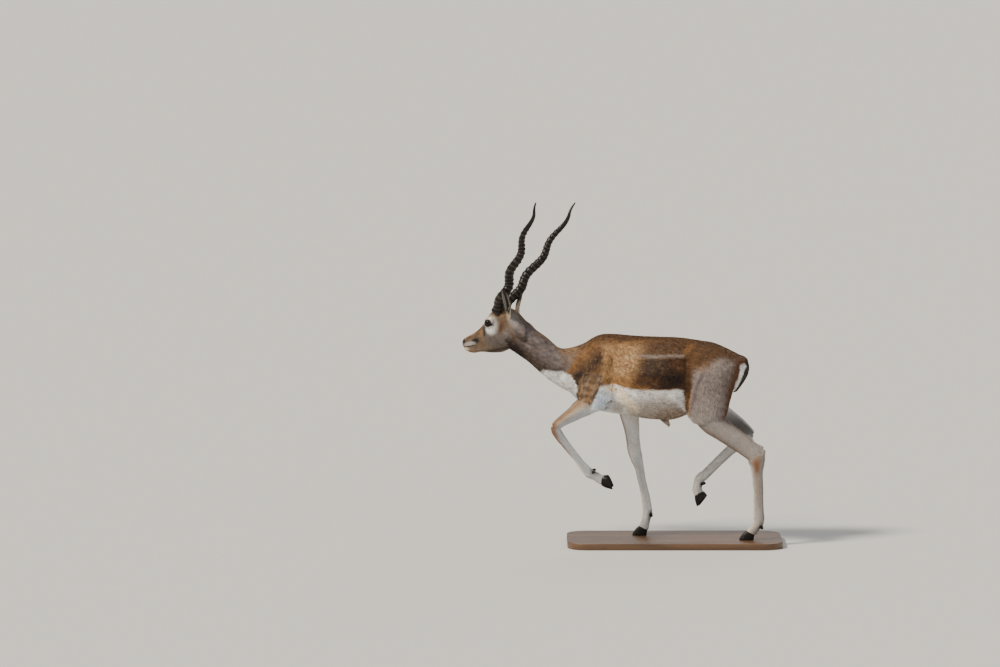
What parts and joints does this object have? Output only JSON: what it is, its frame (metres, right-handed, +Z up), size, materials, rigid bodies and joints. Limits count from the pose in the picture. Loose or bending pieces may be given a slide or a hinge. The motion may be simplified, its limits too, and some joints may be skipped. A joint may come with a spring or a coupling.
{
  "type": "blackbuck antelope figure on a base",
  "caption": "Life-size still model of an adult male blackbuck at a walk, head turned away, ringed spiral horns, on a low rounded wooden base",
  "frame": {"origin": "centre of the base's flat underside", "axes": "+Z up, the animal walks towards -X, its left side faces -Y"},
  "size_m": [1.2492, 0.3974, 1.3621],
  "materials": {
    "coat": "short brown hair with white and dark areas",
    "pale_coat": "short pale hair",
    "horn": "near-black horn, satin",
    "eye": "wet gloss",
    "wood": "satin brown wood"
  },
  "bodies": {
    "root": {"torso": "coat", "neck": "coat", "head": "coat", "tail": "coat", "ear_left": "coat", "ear_right": "coat", "thigh_hind_left": "coat", "thigh_hind_right": "coat", "forearm_left": "coat", "forearm_right": "coat", "shank_hind_left": "pale_coat", "pastern_hind_left": "pale_coat", "shank_hind_right": "pale_coat", "pastern_hind_right": "pale_coat", "shank_fore_left": "pale_coat", "pastern_fore_left": "pale_coat", "shank_fore_right": "pale_coat", "pastern_fore_right": "pale_coat", "horn_left": "horn", "horn_right": "horn", "claw_hind_left_outer": "horn", "dewclaw_hind_left_outer": "horn", "claw_hind_left_inner": "horn", "dewclaw_hind_left_inner": "horn", "claw_hind_right_outer": "horn", "dewclaw_hind_right_outer": "horn", "claw_hind_right_inner": "horn", "dewclaw_hind_right_inner": "horn", "claw_fore_left_outer": "horn", "dewclaw_fore_left_outer": "horn", "claw_fore_left_inner": "horn", "dewclaw_fore_left_inner": "horn", "claw_fore_right_outer": "horn", "dewclaw_fore_right_outer": "horn", "claw_fore_right_inner": "horn", "dewclaw_fore_right_inner": "horn", "eye_left": "eye", "eye_right": "eye", "stand_base": "wood"}
  },
  "joints": []
}
